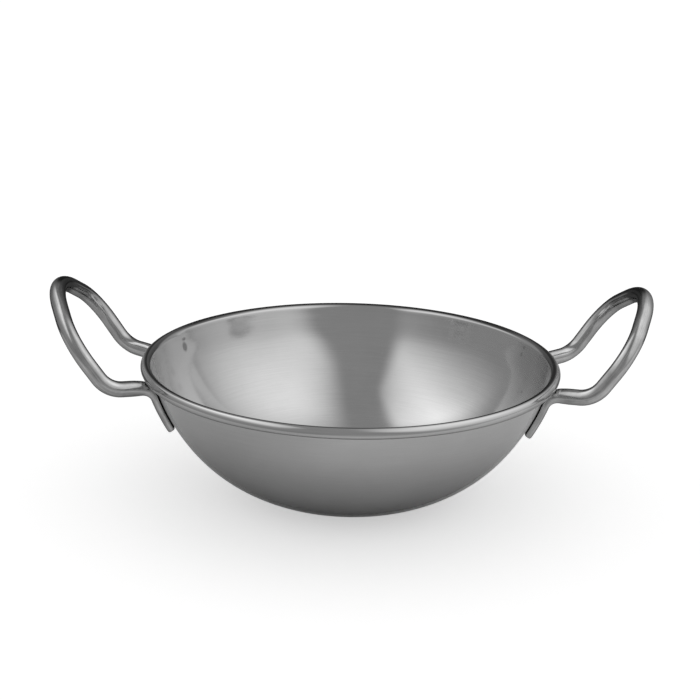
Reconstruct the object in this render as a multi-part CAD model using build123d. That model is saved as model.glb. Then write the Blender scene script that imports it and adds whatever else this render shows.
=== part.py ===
from build123d import *
from math import acos, atan2, copysign, cos, degrees, pi, radians, sin
import os

# A small round-bottomed kadai: a pressed steel bowl with a rolled rim, and two bent rod handles whose
# flattened feet are spot-welded to the wall. Millimetres and degrees, +Z up, origin on the floor under
# the centre of the bowl, handles towards +X and -X.

# Bowl
rim_diameter = 160.0
rim_height = 53.4
base_diameter = 44.0
sheet_thickness = 0.8
base_corner_radius = 33.6
curl_diameter = 4.0
curl_gap = 0.7

# The wall turns from flat to steep in three tangent arcs. The slope at the end of each is a share of the
# slope that one plain arc from the base to the rim would end with.
wall_slope_shares = (0.1836, 0.6173, 0.8815)

# Handle rod, and the points of its loop, which lies in one leaning plane
rod_diameter = 6.0
loop_lean_angle = 55.8
knee_beyond_rim = 9.3
knee_below_rim = 5.2
knee_half_spread = 28.2
shoulder_rise = 22.9
shoulder_half_spread = 29.7
crown_rise = 43.5
knee_bend_radius = 11.2
shoulder_bend_radius = 20.2
crown_bend_radius = 26.0

# Handle feet: the rod's ends, pressed flat, bent down under the rim and laid on the wall
foot_angle = 15.2
foot_thickness = 2.8
foot_width = 9.0
foot_end_below_rim = 22.9
neck_below_rim = 6.7
neck_bend_reach = 4.4
flattening_length = 3.4

# The pressed section is an ellipse at power 2 and squarer above it.
foot_section_power = 3.2
section_points = 24
bend_sections = 4

# Spot welds between each foot and the wall
weld_diameter = 4.0
weld_seat = 0.25
weld_depths_below_rim = (13.0, 19.0)

rim_radius = rim_diameter / 2
base_radius = base_diameter / 2
curl_radius = curl_diameter / 2
curl_hollow_radius = curl_radius - sheet_thickness
curl_centre_r = rim_radius - curl_radius
curl_centre_z = rim_height - curl_radius


# The outer face of the wall as three tangent arcs: (centre r, centre z, radius, start slope, end slope).
def find_wall_arcs():
    # The end of the wall hangs on its own slope, so the two are settled together.
    rim_slope = pi / 2
    for _ in range(20):
        end_r = curl_centre_r - curl_hollow_radius * sin(rim_slope)
        end_z = curl_centre_z + curl_hollow_radius * cos(rim_slope)
        plain_slope = 2 * atan2(end_z, end_r - base_radius)
        low_slope, middle_slope, rim_slope = (share * plain_slope for share in wall_slope_shares)
    # The first radius is given, and the other two close the profile on the rim.
    run = end_r - base_radius - base_corner_radius * sin(low_slope)
    climb = end_z - base_corner_radius * (1 - cos(low_slope))
    middle_run = sin(middle_slope) - sin(low_slope)
    upper_run = sin(rim_slope) - sin(middle_slope)
    middle_climb = cos(low_slope) - cos(middle_slope)
    upper_climb = cos(middle_slope) - cos(rim_slope)
    divisor = middle_run * upper_climb - upper_run * middle_climb
    middle_radius = (run * upper_climb - upper_run * climb) / divisor
    upper_radius = (middle_run * climb - run * middle_climb) / divisor
    arcs = []
    r, z, slope = base_radius, 0.0, 0.0
    for radius, end_slope in (
        (base_corner_radius, low_slope),
        (middle_radius, middle_slope),
        (upper_radius, rim_slope),
    ):
        centre_r = r - radius * sin(slope)
        centre_z = z + radius * cos(slope)
        arcs.append((centre_r, centre_z, radius, slope, end_slope))
        r = centre_r + radius * sin(end_slope)
        z = centre_z - radius * cos(end_slope)
        slope = end_slope
    return arcs


wall_arcs = find_wall_arcs()
rim_slope_angle = degrees(wall_arcs[-1][4])
# The curl starts in line with the wall, and its free edge stops where curl_gap is left to the wall.
curl_turn = 180 + degrees(acos((curl_gap - curl_hollow_radius) / curl_radius))


# One face of the sheet from the middle of the base to the free edge of the curl, at a depth that is 0 on
# the outer face and sheet_thickness on the inner one.
def sheet_face(depth):
    edges = [Line((0, depth), (base_radius, depth))]
    for centre_r, centre_z, radius, start, end in wall_arcs:
        turn = degrees(end - start)
        edges.append(CenterArc((centre_r, centre_z), radius - depth, degrees(start) - 90, turn))
    curl_face_radius = curl_hollow_radius + depth
    edges.append(
        CenterArc((curl_centre_r, curl_centre_z), curl_face_radius, rim_slope_angle + 90, -curl_turn)
    )
    return edges


def make_bowl():
    outer = sheet_face(0)
    inner = sheet_face(sheet_thickness)
    middle_edge = Line(outer[0] @ 0, inner[0] @ 0)
    free_edge = Line(outer[-1] @ 1, inner[-1] @ 1)
    section = make_face([*outer, *inner, middle_edge, free_edge])
    return revolve(Plane.XZ * section, Axis.Z, 360)


# Directions of the foot on the +X, +Y side: away from the bowl's axis, along the rim, and up.
outward = Vector(cos(radians(foot_angle)), sin(radians(foot_angle)), 0)
across = Vector(-sin(radians(foot_angle)), cos(radians(foot_angle)), 0)
upward = Vector(0, 0, 1)
foot_centre_distance = weld_seat + foot_thickness / 2


# The feet lie on the wall's upper arc. This is a point in a foot's upright plane, at a height and a distance
# outside the wall, and the slope of the wall there.
def beside_wall(height, distance):
    centre_r, centre_z, radius, _, _ = wall_arcs[-1]
    slope = acos((centre_z - height) / (radius + distance))
    return outward * (centre_r + (radius + distance) * sin(slope)) + upward * height, slope


# The neck runs straight from the knee to the corner above the foot.
knee = Vector(rim_radius + knee_beyond_rim, knee_half_spread, rim_height - knee_below_rim)
corner = beside_wall(rim_height - neck_below_rim, foot_centre_distance)[0]
neck_direction = (knee - corner).normalized()
bend_start = corner + neck_direction * neck_bend_reach
flattening_start = bend_start + neck_direction * flattening_length


# A point of the loop's leaning plane, a distance up the plane from the knees.
def loop_point(rise, spread):
    lean = radians(loop_lean_angle)
    return Vector(knee.X + rise * cos(lean), spread, knee.Z + rise * sin(lean))


def make_rod():
    half = [flattening_start, knee, loop_point(shoulder_rise, shoulder_half_spread)]
    crown = loop_point(crown_rise, 0)
    other_half = [Vector(point.X, -point.Y, point.Z) for point in reversed(half)]
    radii = [
        knee_bend_radius,
        shoulder_bend_radius,
        crown_bend_radius,
        shoulder_bend_radius,
        knee_bend_radius,
    ]
    path = FilletPolyline(*half, crown, *other_half, radius=radii)
    end = Plane(origin=path @ 0, z_dir=path % 0)
    return sweep(end * Circle(rod_diameter / 2), path=path)


# The outline of the pressed rod, between an ellipse and a rectangle, as one closed curve.
def pressed_section(plane, width, thickness, power):
    points = []
    for index in range(section_points):
        angle = 2 * pi * index / section_points
        x = copysign(abs(cos(angle)) ** (2 / power), cos(angle)) * width / 2
        y = copysign(abs(sin(angle)) ** (2 / power), sin(angle)) * thickness / 2
        points.append((x, y))
    return plane * make_face(Spline(*points, periodic=True))


# A plane square to the foot where the wall has this slope, at a point of the foot's centre line.
def foot_plane(point, slope):
    return Plane(origin=point, x_dir=across, z_dir=-outward * cos(slope) - upward * sin(slope))


# The rod's end as it is pressed: round on the neck, and flat where the bend round the corner ends.
def make_bend(bend_end, bend_end_slope):
    planes = [Plane(origin=bend_start, x_dir=across, z_dir=-neck_direction)]
    for index in range(1, bend_sections):
        share = index / bend_sections
        point = bend_start * (1 - share) ** 2 + corner * (2 * share * (1 - share)) + bend_end * share**2
        direction = (corner - bend_start) * (1 - share) + (bend_end - corner) * share
        planes.append(Plane(origin=point, x_dir=across, z_dir=direction))
    planes.append(foot_plane(bend_end, bend_end_slope))
    steps = [(b.origin - a.origin).length for a, b in zip(planes, planes[1:])]
    whole_length = flattening_length + sum(steps)
    start_plane = Plane(origin=flattening_start, x_dir=across, z_dir=-neck_direction)
    sections = [start_plane * Circle(rod_diameter / 2)]
    for index, plane in enumerate(planes):
        share = (flattening_length + sum(steps[:index])) / whole_length
        pressed = share * share * (3 - 2 * share)
        sections.append(
            pressed_section(
                plane,
                rod_diameter + (foot_width - rod_diameter) * pressed,
                rod_diameter + (foot_thickness - rod_diameter) * pressed,
                2 + (foot_section_power - 2) * pressed,
            )
        )
    return loft(sections)


# One end of the rod, from the neck to the square-cut end of the flat foot, bent round like the wall.
def make_foot():
    bend_end, bend_end_slope = beside_wall(corner.Z - neck_bend_reach, foot_centre_distance)
    foot_end_slope = beside_wall(rim_height - foot_end_below_rim, foot_centre_distance)[1]
    centre_r, centre_z, _, _, _ = wall_arcs[-1]
    wall_axis = Axis(outward * centre_r + upward * centre_z, across)
    section = pressed_section(
        foot_plane(bend_end, bend_end_slope), foot_width, foot_thickness, foot_section_power
    )
    flat = revolve(section, wall_axis, degrees(bend_end_slope - foot_end_slope))
    return make_bend(bend_end, bend_end_slope).solid().fuse(flat.solid(), glue=True)


def make_handle():
    foot = make_foot()
    return make_rod().solid().fuse(foot, mirror(foot, about=Plane.XZ), glue=True)


# The space between the wall's outer face and the backs of the feet, all round the bowl.
def make_seat_layer():
    centre_r, centre_z, radius, start, end = wall_arcs[-1]
    turn = degrees(end - start)
    faces = [
        CenterArc((centre_r, centre_z), radius + distance, degrees(start) - 90, turn)
        for distance in (0, weld_seat)
    ]
    ends = [Line(faces[0] @ place, faces[1] @ place) for place in (0, 1)]
    return revolve(Plane.XZ * make_face([*faces, *ends]), Axis.Z, 360)


# The weld metal that joins one handle to the wall: round slugs that fill the seat behind its feet.
def make_spot_welds():
    seat_layer = make_seat_layer()
    slugs = []
    for depth in weld_depths_below_rim:
        start, slope = beside_wall(rim_height - depth, -sheet_thickness)
        normal = outward * sin(slope) - upward * cos(slope)
        reach = sheet_thickness + foot_centre_distance
        slug = extrude(Plane(origin=start, z_dir=normal) * Circle(weld_diameter / 2), reach)
        slugs.append(seat_layer & slug)
    return slugs + [mirror(slug, about=Plane.XZ) for slug in slugs]


handle_right = make_handle()
spot_welds_right = make_spot_welds()
half_turn = Rotation(0, 0, 180)

nodes = {
    "bowl": make_bowl(),
    "handle_right": handle_right,
    "handle_left": half_turn * handle_right,
    "spot_welds_right": Compound(children=spot_welds_right),
    "spot_welds_left": Compound(children=[half_turn * slug for slug in spot_welds_right]),
}
os.makedirs("parts", exist_ok=True)
for name, solid in nodes.items():
    export_step(solid, f"parts/{name}.step")
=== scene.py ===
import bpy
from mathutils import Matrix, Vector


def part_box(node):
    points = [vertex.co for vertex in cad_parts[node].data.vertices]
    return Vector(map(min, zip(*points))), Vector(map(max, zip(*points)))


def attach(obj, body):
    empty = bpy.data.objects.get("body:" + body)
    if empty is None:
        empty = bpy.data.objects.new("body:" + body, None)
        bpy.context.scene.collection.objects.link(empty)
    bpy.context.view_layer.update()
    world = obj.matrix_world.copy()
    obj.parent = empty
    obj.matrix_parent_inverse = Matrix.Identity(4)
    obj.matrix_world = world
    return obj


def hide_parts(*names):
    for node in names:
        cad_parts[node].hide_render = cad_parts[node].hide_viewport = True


bl_info = {
    "name": "Steel kadai",
    "version": (1, 0, 0),
    "blender": (4, 5, 0),
    "location": "3D View > Sidebar > Kadai",
    "description": "Spins the bowl, bends the rod handles and polishes the steel of a small kadai",
    "category": "Object",
}

from functools import reduce
from itertools import accumulate
from math import acos, atan2, ceil, cos, pi, radians, sin, sqrt
from typing import NamedTuple

import bmesh
import bpy
from bpy.props import FloatProperty, FloatVectorProperty, IntProperty, PointerProperty
from mathutils import Matrix, Vector

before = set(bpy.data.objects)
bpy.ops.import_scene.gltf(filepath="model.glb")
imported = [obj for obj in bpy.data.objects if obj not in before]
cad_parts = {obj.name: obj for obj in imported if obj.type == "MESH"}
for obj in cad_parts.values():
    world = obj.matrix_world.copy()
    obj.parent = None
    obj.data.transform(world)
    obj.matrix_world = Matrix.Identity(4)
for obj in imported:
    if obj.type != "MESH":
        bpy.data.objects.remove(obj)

# Metres and radians. +Z is up, the origin is on the floor under the middle of the bowl, and the handles
# point to +X and -X.
MM = 0.001
BOWL_LOW, BOWL_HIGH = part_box("bowl")
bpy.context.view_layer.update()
MERGE_DISTANCE = 0.001 * MM

# The wave in the wall's inner face: (share of the rim's height, share of the wave's depth, towards the axis).
WALL_WAVE = ((0.41, 0), (0.73, -1), (0.912, 1), (0.965, 1), (1, 0))
# Steps of the meshes: angles between the points of an arc, and points along a run.
WALL_STEP = radians(1.5)
FINE_WALL_STEP = radians(0.5)
CURL_STEP = radians(7)
ROD_BEND_STEP = radians(3)
BASE_ROWS = 8
SLOPE_ROUNDS = 20
FREE_EDGE_STEPS = 4
FOOT_STEPS = 10
NECK_BEND_STEPS = 14
FLATTENING_STEPS = 6
# Where the rounded edge of a foot's cut end has its points, as shares of its radius.
FOOT_EDGE_SHARES = (0, 0.08, 0.3, 0.62, 1)
SHARP_EDGE_ANGLE = radians(50)


class Noise(NamedTuple):
    """One noise of a finish: its grain, and what it does from where it is weak to where it is strong."""

    scale: float  # Grains to the millimetre
    detail: float
    grit: float
    shade: tuple = ()  # Times the colour
    roughness: tuple = ()  # Added to the roughness
    bump: float = 0  # Millimetres high


BOWL_NOISES = {
    "fine_rings": Noise(3.2, 4, 0.7, shade=(0.97, 1.03), roughness=(-0.015, 0.015), bump=0.0002),
    "patches": Noise(0.045, 4, 0.6, shade=(0.975, 1.02), roughness=(-0.015, 0.02)),
    "wide_rings": Noise(0.35, 2, 0.5, roughness=(-0.01, 0.01), bump=0.001),
    "ribs": Noise(1, 3, 0.5, bump=0.002),
}
ROD_NOISES = {
    "fine_lines": Noise(4.5, 3, 0.7, shade=(0.84, 1.12), roughness=(-0.02, 0.03), bump=0.0015),
    "wide_lines": Noise(0.9, 1, 0.5, shade=(0.84, 1.12), bump=0.012),
    "lumps": Noise(0.16, 0, 0.5, shade=(0.9, 1.06), roughness=(-0.02, 0.03), bump=0.08),
    "grain": Noise(0.9, 3, 0.6, shade=(0.95, 1.03), bump=0.002),
}
WELD_NOISES = {
    "tint": Noise(0.5, 3, 0.5, shade=(0.75, 1.2)),
    "grain": Noise(4, 3, 0.7, shade=(0.9, 1.05), roughness=(0.4, 0.6), bump=0.03),
}
NOISE_SPAN = (0.3, 0.7)
# How fast ribs change round the bowl and along it, and lines along the rod.
RIBS_ROUND = 30
RIBS_ALONG = 0.03
LINES_ALONG = 0.04
SCRATCH_TURN = (0.5, 0.3, 0.8)
SCRATCH_SCALE = (0.12, 3, 3)
SCRATCH_SPAN = (0.7, 0.76)
SCRATCH_ROUGHNESS = 0.1
SCRATCH_DEPTH = 0.0005 * MM
SCRATCHES = Noise(1, 1, 0.5)
# Dull marks of the inner wall, in degrees round the axis and millimetres: (turn, height, half width, half
# height, depth of shade).
WALL_MARKS = (
    (153.7, 46.3, 1.5, 1.9, 0.5),
    (153.2, 49.3, 1.3, 0.6, 0.45),
    (22.2, 47.2, 0.8, 0.9, 0.3),
    (21.9, 50.1, 0.9, 0.7, 0.3),
    (12.9, 35.6, 0.6, 0.6, 0.35),
)
WALL_MARK_ROUGHNESS = 0.2
WALL_MARK_FADE = 0.35
# Dents of the rods, in millimetres: (centre, half size, depth of shade).
ROD_MARKS = (
    ((-85.6, -31.2, 47.6), (0.5, 1.2, 2), 0.55),
    ((86.4, -31.2, 47.2), (1.1, 1.4, 1.6), 0.25),
)
ROD_MARK_ROUGHNESS = 0.15
ROD_MARK_DEPTH = 0.04 * MM
ROD_MARK_FADE = 0.4
PRESSED_ROUGHNESS = 0.06
# The dimples that the spot welds leave inside the bowl, at these depths below the rim.
WELD_DEPTHS = (13 * MM, 19 * MM)
DIMPLE_RADIUS = 1.7 * MM
DIMPLE_SHADE = 0.06
DIMPLE_ROUGHNESS = 0.05
DIMPLE_DEPTH = 0.02 * MM
DIMPLE_FADE = 0.5
# What changes towards the steel's outline, where its share of facing away goes from the first value to the
# second: a painted shade on the colour before and after, for the bead and the rod, the end of the bumps, and
# the roughness that is added at a grazing angle.
FRONT_PAINTED_EDGE_SHADE = (0.4, 0.85, 1, 0.4)
BACK_PAINTED_EDGE_SHADE = (0.08, 0.32, 1, 0.25)
ROD_PAINTED_EDGE_SHADE = (0.3, 0.85, 1, 0.18)
BUMP_END = (0.55, 0.85, 1, 0)
GRAZED = (0.78, 0.92, 0, 0.5)
# The bead's section in radians from where the wall ends: its end, and where its inner half and top end. Its
# painted shade comes and goes over a length in millimetres.
CURL_TURN = 5
CURL_TOP_TURNS = (1.15, 1.5)
BEAD_FADE = 1
# Where the bead gets its painted shade, by how far it lies behind the bowl's axis as a share of its distance:
# (from, to, share left out at from, share left out at to).
FRONT_PAINTED_SHADE_SPAN = (-0.7, -0.3, 0, 1)
BACK_PAINTED_SHADE_SPAN = (0.3, 0.7, 1, 0)

# The world lights the object at this strength, and the background itself shows white.
WORLD_LIGHT = 0.7
FLOOR_LIFT = 0.5
# The tent is a dome whose foot hangs below the floor by an angle seen from its middle.
TENT_ROWS = 16
TENT_COLUMNS = 64
TENT_SKIRT = radians(8)
CORNER_SIGNS = ((-1, -1), (1, -1), (1, 1), (-1, 1))
MAT_HEIGHT = 0.05 * MM
MAT_CLEARANCE = 2 * MM
# Where the mat's grey changes, in metres: (axis, from, to, share at from, share at to). R is the distance
# from the bowl's axis, and the darkening close to the bowl along it is a painted shadow of the bowl.
MAT_TONES_AND_PAINTED_SHADOW = (
    ("R", 0.024, 0.095, 0.55, 1.1),
    ("X", -0.08, 0, 0.8, 1),
    ("Y", -0.2, -0.11, 0.6, 1),
    ("Y", 0.07, 0.13, 1, 0.2),
)


class Board(NamedTuple):
    """A soft panel of the studio, placed from the bowl's axis and the floor."""

    centre: tuple
    turn: float  # Degrees, like lean
    lean: float
    size: tuple
    softness: tuple  # Shares of half the width and height over which it fades out
    tones: tuple  # Brightness of its middle, rise towards the top, rise towards its own right


# The studio round the bowl, which only the steel's reflections see: soft panels in front of the grey tent.
BOARDS = {
    "left_panel": Board((-0.223, -0.05, 0.525), 92, 1, (0.7, 0.86), (0.5, 0.68), (0.82, -0.4, 0.38)),
    "right_panel": Board((0.162, -0.134, 0.297), -85, 25, (0.9, 0.75), (0.74, 1), (0.87, -0.02, -0.33)),
    "corner_panel": Board((0.31, 0.243, 0.08), 42, -12, (0.4, 0.39), (0.63, 0.9), (0.4, 0.14, 0.1)),
    "back_card": Board((-0.026, 0.229, 0.238), -29, 15, (0.16, 0.36), (0.3, 0.15), (0.13, 0.07, -0.01)),
    "backdrop": Board((0, 0.6, 0.13), 0, 0, (0.8, 0.8), (0.6, 0.6), (0.03, 0, 0)),
}
CAMERA_SENSOR = 36
CAMERA_CLIP = (0.05, 50)


# Sizes and colours


def Length(name, description, default, **limits):
    """A length in metres."""
    return FloatProperty(name=name, description=description, default=default, unit="LENGTH", **limits)


def Angle(name, description, default):
    """An angle, given in degrees."""
    return FloatProperty(name=name, description=description, default=radians(default), subtype="ANGLE")


def Share(name, description, default):
    """A value between 0 and 1."""
    return FloatProperty(name=name, description=description, default=default, min=0, max=1)


def Colour(name, description, default):
    """A colour."""
    return FloatVectorProperty(
        name=name, description=description, default=default, subtype="COLOR", size=3, min=0, max=1
    )


class KadaiBowlSizes(bpy.types.PropertyGroup):
    """Sizes of the spun bowl"""

    rim_diameter: Length("Rim diameter", "Across the rolled rim, outside", BOWL_HIGH.x - BOWL_LOW.x, min=0.05)
    rim_height: Length("Rim height", "From the floor to the top of the rolled rim", BOWL_HIGH.z, min=0.02)
    base_diameter: Length(
        "Base diameter", "Across the flat middle that the bowl stands on", 44 * MM, min=0.005
    )
    sheet_thickness: Length("Sheet thickness", "Thickness of the steel sheet", 0.8 * MM, min=0.0002)
    base_corner_radius: Length("Base corner radius", "Radius of the wall's lowest arc", 33.6 * MM, min=0.005)
    curl_diameter: Length("Curl diameter", "Outside diameter of the rolled rim's section", 4 * MM, min=0.002)
    curl_gap: Length("Curl gap", "Space between the free edge of the curl and the wall", 0.7 * MM, min=0.0001)
    wave_depth: Length(
        "Wave depth", "How far the inner face waves in and out under the rim", 0.14 * MM, min=0
    )
    wall_slope_shares: FloatVectorProperty(
        name="Wall slope shares",
        description="Slope at the end of each arc of the wall, as a share of one plain arc's end slope",
        default=(0.1836, 0.6173, 0.8815),
        size=3,
    )
    steps_round: IntProperty(name="Steps round", description="Faces round the bowl", default=384, min=24)


class KadaiHandleSizes(bpy.types.PropertyGroup):
    """Sizes of the bent rod handles"""

    rod_diameter: Length("Rod diameter", "Diameter of the round rod", 6 * MM, min=0.002)
    loop_lean: Angle("Loop lean", "Angle of the loop's plane from the floor", 55.8)
    knee_beyond_rim: Length("Knee beyond rim", "How far outside the rim the rod turns up", 9.3 * MM)
    knee_below_rim: Length("Knee below rim", "How far below the rim's top the rod turns up", 5.2 * MM)
    knee_half_spread: Length(
        "Knee half spread", "Half the distance between the two knees of a handle", 28.2 * MM
    )
    shoulder_rise: Length(
        "Shoulder rise", "From the knees to the shoulders of the loop, along its plane", 22.9 * MM
    )
    shoulder_half_spread: Length(
        "Shoulder half spread", "Half the distance between the two shoulders", 29.7 * MM
    )
    crown_rise: Length(
        "Crown rise", "From the knees to the corner above the crown, along the loop's plane", 43.5 * MM
    )
    knee_bend_radius: Length("Knee bend radius", "Bend radius of the rod's centre line at a knee", 11.2 * MM)
    shoulder_bend_radius: Length(
        "Shoulder bend radius", "Bend radius of the rod's centre line at a shoulder", 20.2 * MM
    )
    crown_bend_radius: Length(
        "Crown bend radius", "Bend radius of the rod's centre line at the crown", 26 * MM
    )
    foot_angle: Angle(
        "Foot angle", "Angle of a foot round the bowl's axis, from the middle of its handle", 15.2
    )
    foot_thickness: Length("Foot thickness", "Thickness of the pressed foot", 3.07 * MM)
    foot_width: Length("Foot width", "Width of the pressed foot", 9 * MM)
    foot_section_power: FloatProperty(
        name="Foot section power", description="Squareness: 2 is an ellipse", default=3.2, min=2
    )
    foot_edge_radius: Length("Foot edge radius", "Rounding of the cut end", 0.12 * MM)
    foot_seat: Length(
        "Foot seat",
        "Space between the wall and the back of a foot: below zero it is pressed into the welds",
        -0.02 * MM,
    )
    foot_end_below_rim: Length(
        "Foot end below rim", "How far below the rim's top a foot is cut off", 22.9 * MM
    )
    neck_below_rim: Length(
        "Neck below rim", "How far below the rim's top the neck meets the foot's line", 6.7 * MM
    )
    neck_bend_reach: Length(
        "Neck bend reach", "How far the bend between neck and foot reaches along each", 4.4 * MM
    )
    flattening_length: Length(
        "Flattening length", "Length of the neck over which the rod starts to flatten", 3.4 * MM
    )
    steps_round: IntProperty(name="Steps round", description="Faces round the rod", default=56, min=8)


class KadaiFinish(bpy.types.PropertyGroup):
    """Colours and polish of the steel"""

    bowl_colour: Colour("Bowl steel", "Colour of the bowl's satin steel", (0.72, 0.72, 0.72))
    handle_colour: Colour("Handle steel", "Colour of the polished rod", (0.7, 0.7, 0.7))
    weld_colour: Colour("Weld metal", "Colour of the fused metal behind the feet", (0.3, 0.28, 0.26))
    bowl_roughness: Share("Bowl roughness", "Mean roughness of the bowl", 0.105)
    handle_roughness: Share("Handle roughness", "Mean roughness of the rod", 0.12)


class KadaiStage(bpy.types.PropertyGroup):
    """Camera, floor and light"""

    camera_distance: Length("Camera distance", "From the camera to the point that it looks at", 594.487 * MM)
    camera_elevation: Angle("Camera elevation", "Angle of the view above the floor", 17.298)
    camera_azimuth: Angle("Camera azimuth", "Turn of the camera round the bowl's axis", -0.883)
    camera_roll: Angle("Camera roll", "Turn of the camera about its own view line", 1.324)
    camera_target: FloatVectorProperty(
        name="Camera target",
        description="Point that the camera looks at",
        default=(-0.376 * MM, 0, 56.52 * MM),
        subtype="TRANSLATION",
        size=3,
    )
    focal_length: FloatProperty(name="Focal length", description="Lens in millimetres", default=79.86)
    floor_colour: Colour("Floor", "Colour of the floor", (0.8, 0.8, 0.8))
    floor_size: Length("Floor size", "Side of the square floor", 12)
    tent_radius: Length("Tent radius", "Radius of the grey tent that the steel reflects", 1)
    cloth_tone: Share("Cloth tone", "Brightness of the tent's grey cloth", 0.27)
    mat_tone: Share("Mat tone", "Grey of the mat on the tent's floor", 0.64)


# Meshes and node trees


def add_node(tree, kind, links=None, **settings):
    """A new node. links gives its inputs by name or number: a value, or another node's output."""
    node = tree.nodes.new(kind)
    for name, value in settings.items():
        setattr(node, name, value)
    for key, value in (links or {}).items():
        if isinstance(value, bpy.types.NodeSocket):
            tree.links.new(value, node.inputs[key])
        else:
            node.inputs[key].default_value = value
    return node


def calculate(tree, operation, *values):
    """The result of a Math node."""
    return add_node(tree, "ShaderNodeMath", dict(enumerate(values)), operation=operation).outputs[0]


def calculate_vector(tree, operation, *values, output="Vector", **named):
    """The result of a Vector Math node."""
    links = {**dict(enumerate(values)), **named}
    return add_node(tree, "ShaderNodeVectorMath", links, operation=operation).outputs[output]


def product(tree, *values):
    """All the values multiplied."""
    return reduce(lambda a, b: calculate(tree, "MULTIPLY", a, b), values)


def total(tree, *values):
    """All the values added."""
    return reduce(lambda a, b: calculate(tree, "ADD", a, b), values)


def strongest(tree, *values):
    """The largest of the values."""
    return reduce(lambda a, b: calculate(tree, "MAXIMUM", a, b), values)


def soft_change(tree, value, start, end, low, high):
    """Low where the value is under start, high where it is over end, and a smooth change between."""
    return add_node(
        tree,
        "ShaderNodeMapRange",
        {"Value": value, "From Min": start, "From Max": end, "To Min": low, "To Max": high},
        interpolation_type="SMOOTHSTEP",
    ).outputs[0]


def split(tree, vector):
    """The vector's X, Y and Z."""
    return add_node(tree, "ShaderNodeSeparateXYZ", {0: vector}).outputs


def join(tree, x=0, y=0, z=0):
    """A vector."""
    return add_node(tree, "ShaderNodeCombineXYZ", {0: x, 1: y, 2: z}).outputs[0]


def position(tree):
    """Where each point of the geometry is."""
    return add_node(tree, "GeometryNodeInputPosition").outputs[0]


def read_value(tree, name, data_type="FLOAT"):
    """A named value that the points carry."""
    node = add_node(tree, "GeometryNodeInputNamedAttribute", {"Name": name}, data_type=data_type)
    return node.outputs["Attribute"]


def keep_value(tree, geometry, name, value, data_type="FLOAT"):
    """The geometry with a named value on its points."""
    links = {"Geometry": geometry, "Name": name, "Value": value}
    kind = "GeometryNodeStoreNamedAttribute"
    return add_node(tree, kind, links, data_type=data_type, domain="POINT").outputs[0]


def new_geometry_tree(name, inputs):
    """A Geometry Nodes tree with the named inputs after its geometry: (name, socket type) each."""
    tree = bpy.data.node_groups.new(name, "GeometryNodeTree")
    tree.interface.new_socket("Geometry", in_out="INPUT", socket_type="NodeSocketGeometry")
    for socket_name, socket_type in inputs:
        tree.interface.new_socket(socket_name, in_out="INPUT", socket_type=socket_type)
    tree.interface.new_socket("Geometry", in_out="OUTPUT", socket_type="NodeSocketGeometry")
    return tree, tree.nodes.new("NodeGroupInput").outputs


def end_tree(tree, geometry, material):
    """The last nodes of a tree: real geometry, its material and the output."""
    real = add_node(tree, "GeometryNodeRealizeInstances", {"Geometry": geometry})
    painted = add_node(
        tree, "GeometryNodeSetMaterial", {"Geometry": real.outputs[0], "Material": material}
    )
    add_node(tree, "NodeGroupOutput", {0: painted.outputs[0]})


def grow(name, tree, start, values):
    """A plain mesh object: what the tree makes of the start mesh with these input values."""
    holder = bpy.data.objects.new(f"{name}_start", start)
    bpy.context.scene.collection.objects.link(holder)
    modifier = holder.modifiers.new("Shape", "NODES")
    modifier.node_group = tree
    identifiers = {
        item.name: item.identifier
        for item in tree.interface.items_tree
        if item.item_type == "SOCKET" and item.in_out == "INPUT"
    }
    for socket_name, value in values.items():
        modifier[identifiers[socket_name]] = value
    evaluated = holder.evaluated_get(bpy.context.evaluated_depsgraph_get())
    mesh = bpy.data.meshes.new_from_object(evaluated)
    mesh.name = name
    piece = bpy.data.objects.new(name, mesh)
    bpy.context.scene.collection.objects.link(piece)
    holder.modifiers.remove(modifier)
    bpy.data.objects.remove(holder)
    return piece


def close_up(piece):
    """Merges the doubles of a closed mesh and points its faces outwards."""
    shape = bmesh.new()
    shape.from_mesh(piece.data)
    bmesh.ops.remove_doubles(shape, verts=shape.verts, dist=MERGE_DISTANCE)
    bmesh.ops.dissolve_degenerate(shape, edges=shape.edges, dist=MERGE_DISTANCE)
    bmesh.ops.recalc_face_normals(shape, faces=shape.faces)
    shape.to_mesh(piece.data)
    shape.free()
    piece.data.shade_smooth()


def smooth(share):
    """The share with a soft start and end."""
    return share * share * (3 - 2 * share)


def lengths_along(points):
    """How far along the line each of its points is."""
    return list(accumulate(((b - a).length for a, b in zip(points, points[1:])), initial=0))


def line_mesh(name, points, **values):
    """A mesh of edges through the points. Each point carries the named values and how far along it is."""
    mesh = bpy.data.meshes.new(name)
    mesh.from_pydata(points, [(i, i + 1) for i in range(len(points) - 1)], [])
    for value_name, column in {**values, "along": lengths_along(points)}.items():
        is_vector = isinstance(column[0], Vector)
        layer = mesh.attributes.new(value_name, "FLOAT_VECTOR" if is_vector else "FLOAT", "POINT")
        for point, value in zip(layer.data, column):
            setattr(point, "vector" if is_vector else "value", value)
    return mesh


# The bowl


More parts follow.
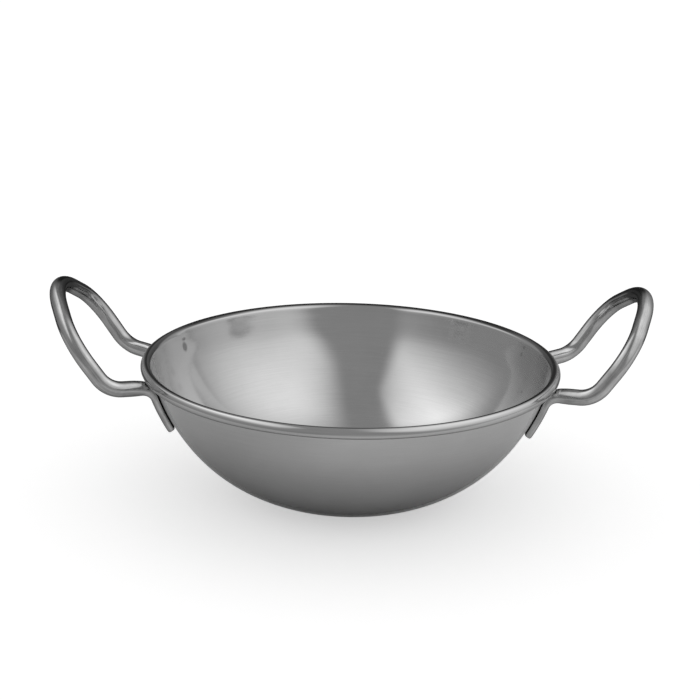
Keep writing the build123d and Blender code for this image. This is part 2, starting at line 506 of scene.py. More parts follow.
def find_wall_arcs(sizes):
    """The wall's outer face as three tangent arcs: (centre r, centre z, radius, start slope, end slope)."""
    base_radius = sizes.base_diameter / 2
    curl_radius = sizes.curl_diameter / 2
    hollow_radius = curl_radius - sizes.sheet_thickness
    curl_centre_r = sizes.rim_diameter / 2 - curl_radius
    curl_centre_z = sizes.rim_height - curl_radius
    # The end of the wall hangs on its own slope, so the two are settled together.
    rim_slope = pi / 2
    for _ in range(SLOPE_ROUNDS):
        end_r = curl_centre_r - hollow_radius * sin(rim_slope)
        end_z = curl_centre_z + hollow_radius * cos(rim_slope)
        plain_slope = 2 * atan2(end_z, end_r - base_radius)
        low_slope, middle_slope, rim_slope = (share * plain_slope for share in sizes.wall_slope_shares)
    # The first radius is given, and the other two close the profile on the rim.
    corner_radius = sizes.base_corner_radius
    run = end_r - base_radius - corner_radius * sin(low_slope)
    climb = end_z - corner_radius * (1 - cos(low_slope))
    middle_run = sin(middle_slope) - sin(low_slope)
    upper_run = sin(rim_slope) - sin(middle_slope)
    middle_climb = cos(low_slope) - cos(middle_slope)
    upper_climb = cos(middle_slope) - cos(rim_slope)
    divisor = middle_run * upper_climb - upper_run * middle_climb
    middle_radius = (run * upper_climb - upper_run * climb) / divisor
    upper_radius = (middle_run * climb - run * middle_climb) / divisor
    arcs = []
    r, z, slope = base_radius, 0, 0
    slopes = (low_slope, middle_slope, rim_slope)
    for radius, end_slope in zip((corner_radius, middle_radius, upper_radius), slopes):
        centre_r = r - radius * sin(slope)
        centre_z = z + radius * cos(slope)
        arcs.append((centre_r, centre_z, radius, slope, end_slope))
        r = centre_r + radius * sin(end_slope)
        z = centre_z - radius * cos(end_slope)
        slope = end_slope
    return arcs


def arc(centre_r, centre_z, radius, start, end, step):
    """Points (r, 0, z) along an arc of the section, both ends included."""
    count = ceil(abs(end - start) / step)
    angles = [start + (end - start) * i / count for i in range(count + 1)]
    return [Vector((centre_r + radius * cos(a), 0, centre_z + radius * sin(a))) for a in angles]


def wave_offset(sizes, height):
    """How far the pressing tool left the inner face towards the axis at a height."""
    for (low, low_share), (high, high_share) in zip(WALL_WAVE, WALL_WAVE[1:]):
        share = (height / sizes.rim_height - low) / (high - low)
        if 0 <= share <= 1:
            return sizes.wave_depth * (low_share + (high_share - low_share) * smooth(share))
    return 0


def sheet_face(sizes, depth):
    """One face of the sheet from the axis to the free edge of the curl, at a depth from the outer face."""
    inside = depth > 0
    base_radius = sizes.base_diameter / 2
    curl_radius = sizes.curl_diameter / 2
    hollow_radius = curl_radius - sizes.sheet_thickness
    arcs = find_wall_arcs(sizes)
    points = [Vector((base_radius * i / BASE_ROWS, 0, depth)) for i in range(BASE_ROWS)]
    for centre_r, centre_z, radius, start, end in arcs:
        step = FINE_WALL_STEP if inside and end == arcs[-1][4] else WALL_STEP
        run = arc(centre_r, centre_z, radius - depth, start - pi / 2, end - pi / 2, step)[:-1]
        if inside:
            centre = Vector((centre_r, 0, centre_z))
            run = [p + (centre - p).normalized() * wave_offset(sizes, p.z) for p in run]
        points += run
    # The curl starts in line with the wall, and its free edge stops where the gap is left to the wall.
    start = arcs[-1][4] + pi / 2
    turn = pi + acos((sizes.curl_gap - hollow_radius) / curl_radius)
    centre = Vector((sizes.rim_diameter / 2 - curl_radius, 0, sizes.rim_height - curl_radius))
    curl = arc(centre.x, centre.z, hollow_radius + depth, start, start - turn, CURL_STEP)
    if inside:
        curl = [
            p + (p - centre).normalized() * wave_offset(sizes, p.z) if p.x < centre.x else p for p in curl
        ]
    return points + curl


def sheet_outline(sizes):
    """The closed section of the sheet, from the axis along the inner face and back along the outer one."""
    inner = sheet_face(sizes, sizes.sheet_thickness)
    outer = sheet_face(sizes, 0)
    middle = (inner[-1] + outer[-1]) / 2
    across = (inner[-1] - outer[-1]) / 2
    ahead = (inner[-1] - inner[-2]).normalized() * across.length
    turns = [pi * i / (FREE_EDGE_STEPS + 1) for i in range(1, FREE_EDGE_STEPS + 1)]
    edge = [middle + across * cos(a) + ahead * sin(a) for a in turns]
    return inner + edge + outer[::-1]


def read_outline(tree, outline, row, value, data_type="FLOAT"):
    """A value of the outline's point in this row."""
    links = {"Geometry": outline, "Value": value, "Index": row}
    return add_node(tree, "GeometryNodeSampleIndex", links, data_type=data_type).outputs[0]


def make_spinning_tree():
    """Geometry Nodes: turns the outline's points round the Z axis into a closed skin."""
    tree, given = new_geometry_tree(
        "Spin Outline", [("Steps Round", "NodeSocketInt"), ("Material", "NodeSocketMaterial")]
    )
    outline, steps = given["Geometry"], given["Steps Round"]
    rows = add_node(tree, "GeometryNodeAttributeDomainSize", {"Geometry": outline}).outputs["Point Count"]
    columns = calculate(tree, "ADD", steps, 1)
    grid = add_node(
        tree,
        "GeometryNodeMeshGrid",
        {"Size X": 1, "Size Y": 1, "Vertices X": rows, "Vertices Y": columns},
    )
    index = add_node(tree, "GeometryNodeInputIndex").outputs[0]
    row = calculate(tree, "FLOOR", calculate(tree, "DIVIDE", total(tree, index, 0.5), columns))
    column = calculate(tree, "SUBTRACT", index, product(tree, row, columns))
    turn = calculate(tree, "DIVIDE", product(tree, column, 2 * pi), steps)
    at = split(tree, read_outline(tree, outline, row, position(tree), "FLOAT_VECTOR"))
    x, y = (product(tree, at["X"], calculate(tree, wave, turn)) for wave in ("COSINE", "SINE"))
    place = join(tree, x, y, at["Z"])
    spun = add_node(tree, "GeometryNodeSetPosition", {"Geometry": grid.outputs[0], "Position": place})
    along = read_outline(tree, outline, row, read_value(tree, "along"))
    skin = keep_value(tree, spun.outputs[0], "along", along)
    closed = add_node(tree, "GeometryNodeMergeByDistance", {"Geometry": skin, "Distance": MERGE_DISTANCE})
    end_tree(tree, closed.outputs[0], given["Material"])
    return tree


# The handles


class HandleLine:
    """The centre line of a handle on the +X side, with what its section needs at each point."""

    def __init__(self, bowl, sizes):
        self.bowl = bowl
        self.sizes = sizes
        turn = sizes.foot_angle
        self.outward = Vector((cos(turn), sin(turn), 0))
        self.across = Vector((-sin(turn), cos(turn), 0))
        self.upper_arc = find_wall_arcs(bowl)[-1]
        self.reach = self.upper_arc[2] + sizes.foot_seat + sizes.foot_thickness / 2
        knee_r = bowl.rim_diameter / 2 + sizes.knee_beyond_rim
        self.knee = Vector((knee_r, sizes.knee_half_spread, bowl.rim_height - sizes.knee_below_rim))
        self.corner = self.foot_point(self.slope_at(bowl.rim_height - sizes.neck_below_rim))
        self.neck = (self.knee - self.corner).normalized()

    def slope_at(self, height):
        """The slope of the foot's centre line at a height."""
        return acos((self.upper_arc[1] - height) / self.reach)

    def foot_point(self, slope):
        """The point of the foot's centre line with this slope."""
        centre_r, centre_z = self.upper_arc[:2]
        height = Vector((0, 0, centre_z - self.reach * cos(slope)))
        return self.outward * (centre_r + self.reach * sin(slope)) + height

    def loop_point(self, rise, spread):
        """A point of the loop's leaning plane, a distance up the plane from the knees."""
        lean = self.sizes.loop_lean
        return Vector((self.knee.x + rise * cos(lean), spread, self.knee.z + rise * sin(lean)))

    def foot(self):
        """The flat foot from its cut end up to the bend, closely spaced where the cut edge is rounded."""
        start = self.slope_at(self.bowl.rim_height - self.sizes.foot_end_below_rim)
        end = self.slope_at(self.corner.z - self.sizes.neck_bend_reach)
        edge = self.sizes.foot_edge_radius / self.reach
        slopes = [start + edge * share for share in FOOT_EDGE_SHARES]
        first = slopes[-1]
        slopes += [first + (end - first) * i / FOOT_STEPS for i in range(1, FOOT_STEPS + 1)]
        return [self.foot_point(slope) for slope in slopes]

    def neck_bend(self, foot_top):
        """The bend between foot and neck, after its first point."""
        start = self.corner + self.neck * self.sizes.neck_bend_reach
        points = []
        for i in range(1, NECK_BEND_STEPS + 1):
            share = i / NECK_BEND_STEPS
            low = foot_top.lerp(self.corner, share)
            points.append(low.lerp(self.corner.lerp(start, share), share))
        return points

    def bent(self, points, radii):
        """The straight runs through the points with each inner corner rounded by its radius."""
        line = [points[0]]
        for before, corner, after, radius in zip(points, points[1:], points[2:], radii):
            back = (before - corner).normalized()
            ahead = (after - corner).normalized()
            half = back.angle(ahead) / 2
            centre = corner + (back + ahead).normalized() * (radius / sin(half))
            side = corner + back * (radius * cos(half) / sin(half)) - centre
            turn = pi - 2 * half
            axis = back.cross(ahead)
            count = ceil(turn / ROD_BEND_STEP)
            for i in range(count + 1):
                line.append(centre + Matrix.Rotation(-turn * i / count, 3, axis) @ side)
        line.append(points[-1])
        return line

    def whole(self):
        """The line's points from one foot to the other, and the flattened share and inset at each."""
        sizes = self.sizes
        foot = self.foot()
        bend = self.neck_bend(foot[-1])
        step = self.neck * (sizes.flattening_length / FLATTENING_STEPS)
        neck = [bend[-1] + step * i for i in range(1, FLATTENING_STEPS + 1)]
        shoulder = self.loop_point(sizes.shoulder_rise, sizes.shoulder_half_spread)
        crown = self.loop_point(sizes.crown_rise, 0)
        corners = [neck[-1], self.knee, shoulder, crown]
        corners += [Vector((p.x, -p.y, p.z)) for p in reversed(corners[:-1])]
        radii = [sizes.knee_bend_radius, sizes.shoulder_bend_radius, sizes.crown_bend_radius]
        loop = self.bent(corners, radii + radii[-2::-1])
        end = foot + bend + neck
        other_end = [Vector((p.x, -p.y, p.z)) for p in reversed(end)]
        points = end + loop[1:-1] + other_end
        flat = self.flattened(foot, bend + neck)
        flats = flat + [0] * (len(loop) - 2) + flat[::-1]
        inset = self.inset(foot, len(end))
        insets = inset + [0] * (len(loop) - 2) + inset[::-1]
        return points, flats, insets

    def flattened(self, foot, rest):
        """How far the rod is pressed flat: 1 on the foot, falling smoothly to 0 along the neck."""
        lengths = lengths_along([foot[-1], *rest])
        return [1] * len(foot) + [smooth(1 - length / lengths[-1]) for length in lengths[1:]]

    def inset(self, foot, count):
        """How far the section is drawn in at the rounded edge of the cut end."""
        radius = self.sizes.foot_edge_radius
        along = [min((p - foot[0]).length, radius) for p in foot]
        drawn = [radius - sqrt(max(0, radius**2 - (radius - d) ** 2)) for d in along]
        return drawn + [0] * (count - len(foot))

    def section_directions(self, points):
        """The direction of the section's width at each point, square to the line."""
        lean = self.sizes.loop_lean
        loop_normal = Vector((sin(lean), 0, -cos(lean)))
        blend_length = self.sizes.shoulder_rise
        lengths = lengths_along(points)
        foot_length = (self.corner - points[0]).length + self.sizes.neck_bend_reach
        directions = []
        for i, length in enumerate(lengths):
            tangent = (points[min(i + 1, len(points) - 1)] - points[max(i - 1, 0)]).normalized()
            from_end = min(length, lengths[-1] - length)
            share = smooth(min(1, max(0, (from_end - foot_length) / blend_length)))
            first_side = length < lengths[-1] / 2
            foot_across = self.across if first_side else Vector((self.across.x, -self.across.y, 0))
            in_loop = tangent.cross(loop_normal)
            direction = foot_across.lerp(in_loop, share)
            directions.append((direction - tangent * direction.dot(tangent)).normalized())
        return directions

    def mesh(self):
        """The line as a mesh of edges that carries the section's values."""
        points, flats, insets = self.whole()
        across = self.section_directions(points)
        return line_mesh("handle_line", points, across=across, flat=flats, inset=insets)


def squared_off(tree, value, power):
    """A side of the pressed section: the value's sign times its size to the power 2 / power."""
    size = calculate(tree, "POWER", calculate(tree, "ABSOLUTE", value), calculate(tree, "DIVIDE", 2, power))
    return product(tree, calculate(tree, "SIGN", value), size)


def half_size(tree, flat, rod_radius, foot_size, inset):
    """Half the section's width or thickness: the rod's, the foot's or between, less the inset."""
    change = calculate(tree, "SUBTRACT", product(tree, foot_size, 0.5), rod_radius)
    full = calculate(tree, "MULTIPLY_ADD", change, flat, rod_radius)
    return calculate(tree, "SUBTRACT", full, inset)


def make_bending_tree():
    """Geometry Nodes: sweeps the rod along the handle's line and presses its ends flat."""
    lengths = ("Rod Radius", "Foot Width", "Foot Thickness", "Section Power", "Turn")
    inputs = [(name, "NodeSocketFloat") for name in lengths]
    inputs += [("Steps Round", "NodeSocketInt"), ("Material", "NodeSocketMaterial")]
    tree, given = new_geometry_tree("Bend Rod", inputs)
    radius = given["Rod Radius"]
    across = read_value(tree, "across", "FLOAT_VECTOR")
    flat = read_value(tree, "flat")
    inset = read_value(tree, "inset")
    line = add_node(tree, "GeometryNodeMeshToCurve", {"Mesh": given["Geometry"]}).outputs[0]
    path = keep_value(tree, line, "centre", position(tree), "FLOAT_VECTOR")
    ring = add_node(
        tree, "GeometryNodeCurvePrimitiveCircle", {"Resolution": given["Steps Round"], "Radius": radius}
    )
    section = keep_value(tree, ring.outputs[0], "round", position(tree), "FLOAT_VECTOR")
    rod = add_node(
        tree, "GeometryNodeCurveToMesh", {"Curve": path, "Profile Curve": section, "Fill Caps": True}
    )
    centre = read_value(tree, "centre", "FLOAT_VECTOR")
    offset = calculate_vector(tree, "SUBTRACT", position(tree), centre)
    wide = calculate_vector(tree, "DOT_PRODUCT", offset, across, output="Value")
    sideways = calculate_vector(tree, "SCALE", across, Scale=wide)
    upright = calculate_vector(tree, "SUBTRACT", offset, sideways)
    high = calculate_vector(tree, "LENGTH", upright, output="Value")
    power_rise = calculate(tree, "SUBTRACT", given["Section Power"], 2)
    power = calculate(tree, "MULTIPLY_ADD", power_rise, flat, 2)
    place = centre
    for direction, reach, foot_size in (
        (across, wide, given["Foot Width"]),
        (calculate_vector(tree, "NORMALIZE", upright), high, given["Foot Thickness"]),
    ):
        share = squared_off(tree, calculate(tree, "DIVIDE", reach, radius), power)
        new_reach = product(tree, share, half_size(tree, flat, radius, foot_size, inset))
        place = calculate_vector(
            tree, "ADD", place, calculate_vector(tree, "SCALE", direction, Scale=new_reach)
        )
    pressed = add_node(tree, "GeometryNodeSetPosition", {"Geometry": rod.outputs[0], "Position": place})
    turned = add_node(
        tree,
        "GeometryNodeTransform",
        {"Geometry": pressed.outputs[0], "Rotation": join(tree, z=given["Turn"])},
    )
    end_tree(tree, turned.outputs[0], given["Material"])
    return tree


# Steel finishes


def end_material(tree, shader):
    """The material's output."""
    add_node(tree, "ShaderNodeOutputMaterial", {"Surface": shader.outputs[0]})


def new_material(name, colour, **uniform):
    """A steel without its details: the material, its tree and its shader."""
    material = bpy.data.materials.new(name)
    material.use_nodes = True
    tree = material.node_tree
    tree.nodes.clear()
    shader = add_node(tree, "ShaderNodeBsdfPrincipled", {"Base Color": (*colour, 1), "Metallic": 1})
    for key, value in uniform.items():
        shader.inputs[key.replace("_", " ").title()].default_value = value
    end_material(tree, shader)
    return material, tree, shader


def attribute(tree, name, output="Fac"):
    """A named value of the mesh."""
    return add_node(tree, "ShaderNodeAttribute", attribute_name=name).outputs[output]


def in_millimetres(tree, vector):
    """The vector in millimetres."""
    return calculate_vector(tree, "SCALE", vector, Scale=1 / MM)


def places(tree):
    """Where the surface is, in metres and in millimetres."""
    place = add_node(tree, "ShaderNodeTexCoord").outputs["Object"]
    return place, in_millimetres(tree, place)


def noise(tree, vector, kind):
    """The strength of a noise, between 0 and 1, over a vector in millimetres."""
    links = {"Vector": vector, "Scale": kind.scale, "Detail": kind.detail, "Roughness": kind.grit}
    return add_node(tree, "ShaderNodeTexNoise", links).outputs["Fac"]


def lay_noises(tree, noises, vectors):
    """The shades, roughnesses and heights that the noises of a finish give, each over its own vector."""
    shades, roughnesses, heights = [], [], []
    for name, kind in noises.items():
        strength = noise(tree, vectors[name], kind)
        if kind.shade:
            shades.append(soft_change(tree, strength, *NOISE_SPAN, *kind.shade))
        if kind.roughness:
            roughnesses.append(soft_change(tree, strength, *NOISE_SPAN, *kind.roughness))
        if kind.bump:
            heights.append(product(tree, strength, kind.bump * MM))
    return shades, roughnesses, heights


def spot(tree, place, centre, half_size, fade):
    """1 in an oval round a place of the surface and 0 outside it. fade is the share of it that fades."""
    scale = [1 / size for size in half_size]
    apart = calculate_vector(tree, "MULTIPLY", calculate_vector(tree, "SUBTRACT", place, centre), scale)
    distance = calculate_vector(tree, "LENGTH", apart, output="Value")
    return soft_change(tree, distance, 1 - fade, 1 + fade, 1, 0)


def spots(tree, place, marks, fade):
    """How strong the marks of a steel are: each a centre, half size and depth of shade."""
    return strongest(
        tree,
        *(product(tree, spot(tree, place, centre, size, fade), depth) for centre, size, depth in marks),
    )


def edge_change(tree, start, end, low, high):
    """A value that changes towards the steel's outline: from this share of facing away to that one."""
    facing = add_node(tree, "ShaderNodeLayerWeight", {"Blend": 0.5}).outputs["Facing"]
    return soft_change(tree, facing, start, end, low, high)


def apply_finish(tree, shader, colour, shades, roughnesses, heights):
    """Gives the shader its shaded colour, its roughness and its bumps, which end where it is seen edge on."""
    dyed = calculate_vector(tree, "SCALE", colour, Scale=product(tree, *shades))
    height = total(tree, *heights)
    strength = edge_change(tree, *BUMP_END)
    bump = add_node(tree, "ShaderNodeBump", {"Strength": strength, "Distance": 1, "Height": height})
    tree.links.new(dyed, shader.inputs["Base Color"])
    tree.links.new(total(tree, *roughnesses), shader.inputs["Roughness"])
    tree.links.new(bump.outputs[0], shader.inputs["Normal"])


def wall_place(bowl, turn, height):
    """The place of the inner face at this turn round the axis and height."""
    for centre_r, centre_z, radius, _, end in find_wall_arcs(bowl):
        reach = radius - bowl.sheet_thickness
        if centre_z - reach * cos(end) >= height:
            break
    r = centre_r + sqrt(reach**2 - (centre_z - height) ** 2)
    return Vector((r * cos(turn), r * sin(turn), height))


def wall_marks(tree, place, bowl):
    """The dull marks of the inner wall."""
    marks = []
    for turn, height, half_width, half_height, depth in WALL_MARKS:
        centre = wall_place(bowl, radians(turn), height * MM)
        marks.append((centre, (half_width * MM, half_width * MM, half_height * MM), depth))
    return spots(tree, place, marks, WALL_MARK_FADE)


def weld_dimples(tree, place, bowl, foot_angle):
    """The dimples of the inner wall where the feet are welded on outside."""
    turns = (foot_angle, -foot_angle, pi - foot_angle, pi + foot_angle)
    centres = [wall_place(bowl, turn, bowl.rim_height - depth) for depth in WELD_DEPTHS for turn in turns]
    size = (DIMPLE_RADIUS,) * 3
    return strongest(tree, *(spot(tree, place, centre, size, DIMPLE_FADE) for centre in centres))


def bead_painted_shades(tree, bowl, along, facing_y):
    """Painted shade on the rim's bead, darker towards its outline: its inner half and top at the back, less
    at the front, and not beside the handles."""
    wall_length = sum((end - start) * radius for _, _, radius, start, end in find_wall_arcs(bowl))
    radius = bowl.curl_diameter / 2 / MM
    start = (bowl.base_diameter / 2 + wall_length) / MM
    end = start + CURL_TURN * radius
    on_bead = product(
        tree,
        soft_change(tree, along, start - BEAD_FADE, start, 0, 1),
        soft_change(tree, along, end, end + BEAD_FADE, 1, 0),
    )
    inner_half = soft_change(tree, along, *(start + turn * radius for turn in CURL_TOP_TURNS), 1, 0)
    front = product(tree, on_bead, facing_y)
    back = product(tree, front, inner_half)
    return [
        strongest(tree, edge_change(tree, *edge), soft_change(tree, side, *span))
        for side, span, edge in ((front, FRONT_PAINTED_SHADE_SPAN, FRONT_PAINTED_EDGE_SHADE), (back, BACK_PAINTED_SHADE_SPAN, BACK_PAINTED_EDGE_SHADE))
    ]


def make_bowl_steel(scene):
    """Steel turned and polished on the lathe: rings, soft patches, fine scratches and a few marks, with a
    painted shade towards the bead's outline.
    """
    finish, bowl = scene.kadai_finish, scene.kadai_bowl
    material, tree, shader = new_material(
        "bowl_steel", finish.bowl_colour, anisotropic=0.35, anisotropic_rotation=0.25
    )
    lines = add_node(tree, "ShaderNodeTangent", direction_type="RADIAL", axis="Z")
    tree.links.new(lines.outputs[0], shader.inputs["Tangent"])
    place, place_mm = places(tree)
    at = split(tree, place)
    facing = split(tree, calculate_vector(tree, "NORMALIZE", join(tree, at["X"], at["Y"])))
    along = calculate(tree, "DIVIDE", attribute(tree, "along"), MM)
    # Rings change along the sheet and hardly round it, and ribs change round it and hardly along.
    rings = join(tree, along, facing["X"], facing["Y"])
    round_x, round_y = (product(tree, facing[axis], RIBS_ROUND) for axis in "XY")
    ribs = join(tree, round_x, round_y, product(tree, along, RIBS_ALONG))
    vectors = {"fine_rings": rings, "patches": place_mm, "wide_rings": rings, "ribs": ribs}
    shades, roughnesses, heights = lay_noises(tree, BOWL_NOISES, vectors)
    links = {"Vector": place_mm, "Rotation": SCRATCH_TURN, "Scale": SCRATCH_SCALE}
    scratch_lines = add_node(tree, "ShaderNodeMapping", links).outputs[0]
    scratches = soft_change(tree, noise(tree, scratch_lines, SCRATCHES), *SCRATCH_SPAN, 0, 1)
    marks = wall_marks(tree, place, bowl)
    dimples = weld_dimples(tree, place, bowl, scene.kadai_handle.foot_angle)
    shades += [
        calculate(tree, "SUBTRACT", 1, marks),
        calculate(tree, "MULTIPLY_ADD", dimples, -DIMPLE_SHADE, 1),
        # The bead's painted shade, darker towards its outline.
        *bead_painted_shades(tree, bowl, along, facing["Y"]),
    ]
    roughnesses += [
        finish.bowl_roughness,
        product(tree, scratches, SCRATCH_ROUGHNESS),
        product(tree, marks, WALL_MARK_ROUGHNESS),
        product(tree, dimples, DIMPLE_ROUGHNESS),
        edge_change(tree, *GRAZED),
    ]
    heights += [product(tree, scratches, -SCRATCH_DEPTH), product(tree, dimples, -DIMPLE_DEPTH)]
    apply_finish(tree, shader, finish.bowl_colour, shades, roughnesses, heights)
    return material


def make_handle_steel(scene):
    """Drawn and polished rod: lines along it, soft unevenness, marks where it is bent and pressed, and a
    painted shade towards its outline.
    """
    finish = scene.kadai_finish
    material, tree, shader = new_material("handle_steel", finish.handle_colour)
    place, place_mm = places(tree)
    section = split(tree, in_millimetres(tree, attribute(tree, "round", "Vector")))
    along = calculate(tree, "DIVIDE", attribute(tree, "along"), MM)
    lines = join(tree, section["X"], section["Y"], product(tree, along, LINES_ALONG))
    vectors = {"fine_lines": lines, "wide_lines": lines, "lumps": place_mm, "grain": place_mm}
    shades, roughnesses, heights = lay_noises(tree, ROD_NOISES, vectors)
    marks = [(Vector(centre) * MM, Vector(half_size) * MM, depth) for centre, half_size, depth in ROD_MARKS]
    marks = spots(tree, place, marks, ROD_MARK_FADE)
    # The rod's colour takes its marks and a painted shade that darkens it towards its outline.
    shades += [calculate(tree, "SUBTRACT", 1, marks), edge_change(tree, *ROD_PAINTED_EDGE_SHADE)]
    roughnesses += [
        finish.handle_roughness,
        product(tree, attribute(tree, "flat"), PRESSED_ROUGHNESS),
        product(tree, marks, ROD_MARK_ROUGHNESS),
    ]
    heights.append(product(tree, marks, -ROD_MARK_DEPTH))
    apply_finish(tree, shader, finish.handle_colour, shades, roughnesses, heights)
    return material


def make_weld_metal(scene):
    """Dull fused metal with a grainy, heat-tinted skin."""
    finish = scene.kadai_finish
    material, tree, shader = new_material("weld_metal", finish.weld_colour)
    place_mm = places(tree)[1]
    layers = lay_noises(tree, WELD_NOISES, {"tint": place_mm, "grain": place_mm})
    apply_finish(tree, shader, finish.weld_colour, *layers)
    return material


# Operators


class KADAI_OT_spin_bowl(bpy.types.Operator):
    """Spins the bowl with its rolled rim from one sheet"""

    bl_idname = "kadai.spin_bowl"
    bl_label = "Spin Bowl"

    def execute(self, context):
        sizes = context.scene.kadai_bowl
        bowl = grow(
            "bowl_sheet",
            make_spinning_tree(),
            line_mesh("bowl_outline", sheet_outline(sizes)),
            {"Steps Round": sizes.steps_round, "Material": make_bowl_steel(context.scene)},
        )
        close_up(bowl)
        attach(bowl, "root")
        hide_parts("bowl")
        return {"FINISHED"}


class KADAI_OT_bend_handles(bpy.types.Operator):
    """Bends the two rod handles and presses their feet flat"""

    bl_idname = "kadai.bend_handles"
    bl_label = "Bend Handles"

    def execute(self, context):
        sizes = context.scene.kadai_handle
        tree = make_bending_tree()
        steel = make_handle_steel(context.scene)
        line = HandleLine(context.scene.kadai_bowl, sizes)
        for node, turn in (("handle_right", 0), ("handle_left", pi)):
            handle = grow(
                f"{node}_rod",
                tree,
                line.mesh(),
                {
                    "Rod Radius": sizes.rod_diameter / 2,
                    "Foot Width": sizes.foot_width,
                    "Foot Thickness": sizes.foot_thickness,
                    "Section Power": sizes.foot_section_power,
                    "Steps Round": sizes.steps_round,
                    "Turn": turn,
                    "Material": steel,
                },
            )
            close_up(handle)
            handle.data.set_sharp_from_angle(angle=SHARP_EDGE_ANGLE)
            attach(handle, "root")
            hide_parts(node)
        return {"FINISHED"}


class KADAI_OT_finish_welds(bpy.types.Operator):
    """Gives the spot welds behind the feet their fused metal"""

    bl_idname = "kadai.finish_welds"
    bl_label = "Finish Welds"

    def execute(self, context):
        metal = make_weld_metal(context.scene)
        for node in ("spot_welds_right", "spot_welds_left"):
            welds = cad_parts[node]
            welds.data.materials.clear()
            welds.data.materials.append(metal)
        return {"FINISHED"}


class KADAI_OT_set_stage(bpy.types.Operator):
    """Sets the camera, the pale floor and the studio light"""

    bl_idname = "kadai.set_stage"
    bl_label = "Set Stage"

    def execute(self, context):
        stage = context.scene.kadai_stage
        set_camera(context.scene, stage)
        lay_floor(stage)
        light_world(context.scene)
        hang_tent(stage)
        for name, board in BOARDS.items():
            stand_board(name, board)
        lay_mat(stage, context.scene.kadai_bowl)
        context.scene.view_settings.view_transform = "Standard"
        return {"FINISHED"}


def set_camera(scene, stage):
    """The camera at the photograph's angle."""
    elevation, roll = stage.camera_elevation, stage.camera_roll
    back = Vector((0, -cos(elevation), sin(elevation)))
    right = Vector((1, 0, 0))
    up = right.cross(-back)
    level = right * cos(roll) + up * sin(roll)
    upright = up * cos(roll) - right * sin(roll)
    place = Vector(stage.camera_target) + back * stage.camera_distance
    matrix = Matrix((level, upright, back)).transposed().to_4x4()
    matrix.translation = place
    data = bpy.data.cameras.new("camera")
    data.lens = stage.focal_length
    data.sensor_width = CAMERA_SENSOR
    data.clip_start, data.clip_end = CAMERA_CLIP
    camera = bpy.data.objects.new("camera", data)
    camera.matrix_world = Matrix.Rotation(stage.camera_azimuth, 4, "Z") @ matrix
    scene.collection.objects.link(camera)
    scene.camera = camera


def seen_directly(tree):
    """1 for the rays that show the background itself: camera, mirror and glass rays."""
    light = add_node(tree, "ShaderNodeLightPath").outputs
    rays = ("Is Camera Ray", "Is Glossy Ray", "Is Transmission Ray")
    return strongest(tree, *(light[ray] for ray in rays))


def lay_floor(stage):
    """The pale floor."""
    half = stage.floor_size / 2
    corners = [(x * half, y * half, 0) for x, y in CORNER_SIGNS]
    tree = stage_piece("floor", corners, [(0, 1, 2, 3)])[1]
    paper = add_node(tree, "ShaderNodeBsdfDiffuse", {"Color": (*stage.floor_colour, 1)})
    lift = product(tree, seen_directly(tree), FLOOR_LIFT)
    glow = add_node(tree, "ShaderNodeEmission", {"Strength": lift})
    end_material(tree, add_node(tree, "ShaderNodeAddShader", {0: paper.outputs[0], 1: glow.outputs[0]}))


def light_world(scene):
    """An even pale surround."""
    world = bpy.data.worlds.new("studio")
    scene.world = world
    world.use_nodes = True
    world.cycles.sampling_method = "NONE"
    tree = world.node_tree
    tree.nodes.clear()
    strength = calculate(tree, "MULTIPLY_ADD", seen_directly(tree), 1 - WORLD_LIGHT, WORLD_LIGHT)
    surround = add_node(tree, "ShaderNodeBackground", {"Color": (1, 1, 1, 1), "Strength": strength})
    add_node(tree, "ShaderNodeOutputWorld", {"Surface": surround.outputs[0]})


def stage_piece(name, points, faces):
    """A piece of the stage with an empty material: its object and the material's tree."""
    mesh = bpy.data.meshes.new(name)
    mesh.from_pydata(points, [], faces)
    piece = bpy.data.objects.new(name, mesh)
    bpy.context.scene.collection.objects.link(piece)
    material = bpy.data.materials.new(name)
    material.use_nodes = True
    material.node_tree.nodes.clear()
    mesh.materials.append(material)
    return piece, material.node_tree


def show_to_steel_only(piece):
    """Only the steel's reflections see the piece: it hides nothing and throws no shadow."""
    piece.visible_camera = False
    piece.visible_diffuse = False
    piece.visible_transmission = False
    piece.visible_volume_scatter = False
    piece.visible_shadow = False
    piece.active_material.cycles.emission_sampling = "NONE"


def ring(radius, height):
    """Points round the Z axis."""
    turns = [2 * pi * column / TENT_COLUMNS for column in range(TENT_COLUMNS)]
    return [(radius * cos(turn), radius * sin(turn), height) for turn in turns]


def skin(rows):
    """The faces between neighbouring rings."""
    faces = []
    for low in range(0, (rows - 1) * TENT_COLUMNS, TENT_COLUMNS):
        high = low + TENT_COLUMNS
        for column in range(TENT_COLUMNS):
            after = (column + 1) % TENT_COLUMNS
            faces.append((low + column, high + column, high + after, low + after))
    return faces


def hang_tent(stage):
    """The photographer's grey tent."""
    radius = stage.tent_radius
    points = []
    for row in range(TENT_ROWS):
        rise = (pi / 2 + TENT_SKIRT) * row / TENT_ROWS - TENT_SKIRT
        points += ring(radius * cos(rise), radius * sin(rise))
    last, top = len(points) - TENT_COLUMNS, len(points)
    points.append((0, 0, radius))
    faces = skin(TENT_ROWS)
    faces += [(last + i, top, last + (i + 1) % TENT_COLUMNS) for i in range(TENT_COLUMNS)]
    tent, tree = stage_piece("tent", points, faces)
    end_material(tree, add_node(tree, "ShaderNodeEmission", {"Strength": stage.cloth_tone}))
    show_to_steel_only(tent)


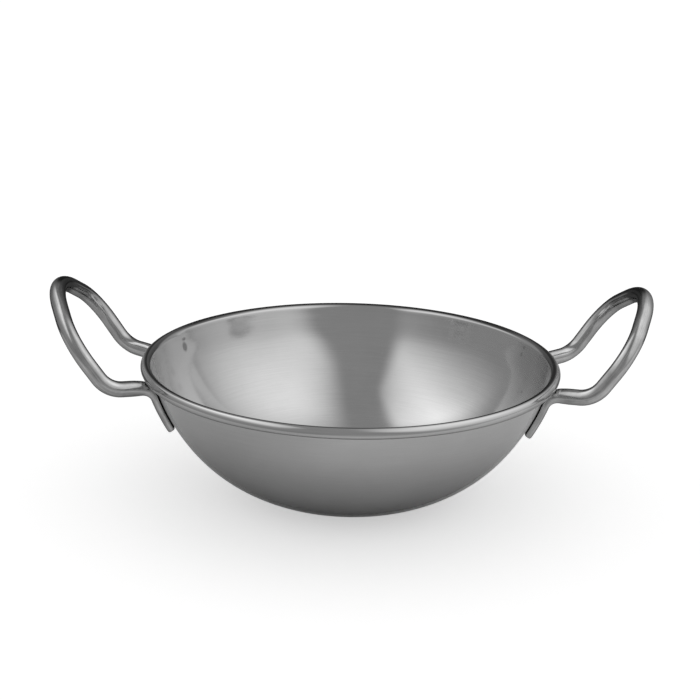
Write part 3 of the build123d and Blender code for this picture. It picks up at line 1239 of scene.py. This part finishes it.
def stand_board(name, board):
    """A soft panel, as bright as its tones say and fading out at its edges."""
    turn, lean = radians(board.turn), radians(board.lean)
    right = Vector((cos(turn), sin(turn), 0))
    upright = Vector((0, 0, 1))
    up = upright * cos(lean) + right.cross(upright) * sin(lean)
    half_width, half_height = (side / 2 for side in board.size)
    centre = Vector(board.centre)
    corners = [centre + right * (x * half_width) + up * (y * half_height) for x, y in CORNER_SIGNS]
    piece, tree = stage_piece(name, corners, [(0, 1, 2, 3)])
    layer = piece.data.uv_layers.new(name="face")
    for loop, signs in zip(layer.data, CORNER_SIGNS):
        loop.uv = signs
    at = split(tree, add_node(tree, "ShaderNodeUVMap", uv_map="face").outputs[0])
    fades = []
    for axis, softness in zip("XY", board.softness):
        inside = calculate(tree, "SUBTRACT", 1, calculate(tree, "ABSOLUTE", at[axis]))
        fades.append(soft_change(tree, inside, 0, softness, 0, 1))
    middle, rise, across = board.tones
    tone = total(tree, product(tree, at["Y"], rise), product(tree, at["X"], across), middle)
    light = add_node(tree, "ShaderNodeEmission", {"Strength": strongest(tree, tone, 0)})
    gap = add_node(tree, "ShaderNodeBsdfTransparent")
    links = {0: product(tree, *fades), 1: gap.outputs[0], 2: light.outputs[0]}
    end_material(tree, add_node(tree, "ShaderNodeMixShader", links))
    show_to_steel_only(piece)


def lay_mat(stage, bowl):
    """The grey mat round the bowl's base, on the floor of the tent."""
    points = ring(bowl.base_diameter / 2 + MAT_CLEARANCE, MAT_HEIGHT) + ring(stage.tent_radius, MAT_HEIGHT)
    mat, tree = stage_piece("mat", points, skin(2))
    # The mat is darker close to the bowl, a painted shadow of it, and darker to its left, towards the camera
    # and behind the bowl.
    place = add_node(tree, "ShaderNodeTexCoord").outputs["Object"]
    at = dict(split(tree, place).items())
    at["R"] = calculate_vector(tree, "LENGTH", place, output="Value")
    tones = [soft_change(tree, at[axis], *change) for axis, *change in MAT_TONES_AND_PAINTED_SHADOW]
    felt = add_node(tree, "ShaderNodeBsdfDiffuse", {"Color": product(tree, stage.mat_tone, *tones)})
    end_material(tree, felt)
    show_to_steel_only(mat)


class KADAI_PT_kadai(bpy.types.Panel):
    """Sizes, finish and steps of the kadai"""

    bl_idname = "KADAI_PT_kadai"
    bl_label = "Kadai"
    bl_space_type = "VIEW_3D"
    bl_region_type = "UI"
    bl_category = "Kadai"

    def draw(self, context):
        for title, group, steps in (
            ("Bowl", context.scene.kadai_bowl, ("kadai.spin_bowl",)),
            ("Handles", context.scene.kadai_handle, ("kadai.bend_handles", "kadai.finish_welds")),
            ("Finish", context.scene.kadai_finish, ()),
            ("Stage", context.scene.kadai_stage, ("kadai.set_stage",)),
        ):
            box = self.layout.box()
            box.label(text=title)
            for name in group.__annotations__:
                box.prop(group, name)
            for step in steps:
                box.operator(step)


GROUPS = {
    "kadai_bowl": KadaiBowlSizes,
    "kadai_handle": KadaiHandleSizes,
    "kadai_finish": KadaiFinish,
    "kadai_stage": KadaiStage,
}
CLASSES = (
    *GROUPS.values(),
    KADAI_OT_spin_bowl,
    KADAI_OT_bend_handles,
    KADAI_OT_finish_welds,
    KADAI_OT_set_stage,
    KADAI_PT_kadai,
)


def register():
    for made in CLASSES:
        bpy.utils.register_class(made)
    for name, group in GROUPS.items():
        setattr(bpy.types.Scene, name, PointerProperty(type=group))


def unregister():
    for name in GROUPS:
        delattr(bpy.types.Scene, name)
    for made in reversed(CLASSES):
        bpy.utils.unregister_class(made)


def main():
    register()
    bpy.ops.kadai.set_stage()
    bpy.ops.kadai.spin_bowl()
    bpy.ops.kadai.bend_handles()
    bpy.ops.kadai.finish_welds()


if __name__ == "__main__":
    main()
